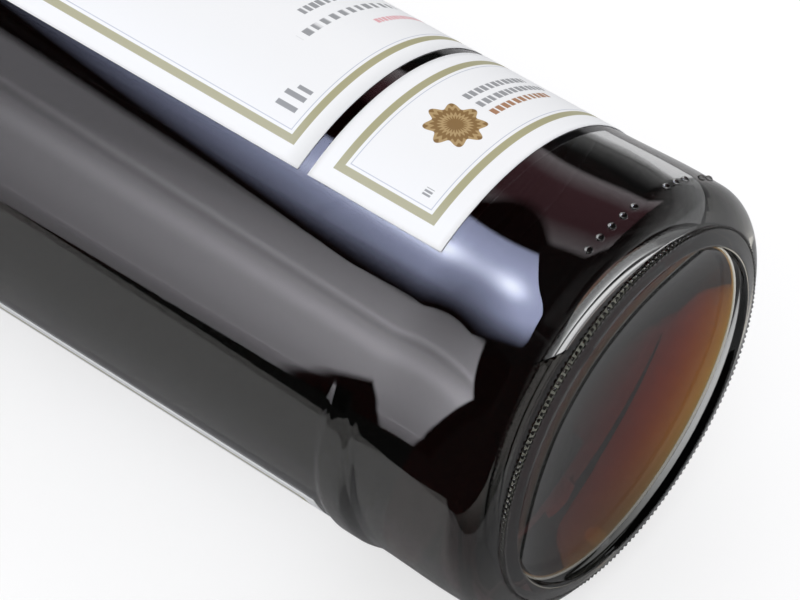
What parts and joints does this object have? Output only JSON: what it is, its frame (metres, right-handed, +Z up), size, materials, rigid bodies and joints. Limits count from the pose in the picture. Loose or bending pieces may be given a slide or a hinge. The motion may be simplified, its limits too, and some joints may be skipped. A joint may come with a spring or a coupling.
{
  "type": "bottle of liqueur",
  "caption": "Round clear glass bottle lying on its side, full of dark red-brown liqueur, with paper labels, a knurled foot, a domed base and a screw cap.",
  "frame": {"origin": "on the floor under the middle of the lying bottle's length, below the bottle's axis", "axes": "+X along the bottle's axis towards its base, +Z up, the front label facing up and a little towards +Y"},
  "size_m": [0.3046, 0.0788, 0.0791],
  "materials": {
    "clear_glass": "clear, faintly green, glossy",
    "dark_liqueur": "very dark red-brown liquid, amber where thin",
    "printed_paper": "smooth white paper with olive-gold border print",
    "plain_paper": "off-white paper",
    "cap_metal": "satin olive-gold lacquer"
  },
  "bodies": {
    "root": {"glass_bottle": "clear_glass", "liqueur": "dark_liqueur", "front_label": "printed_paper", "strip_label": "printed_paper", "back_label": "plain_paper", "screw_cap": "cap_metal"}
  },
  "joints": []
}
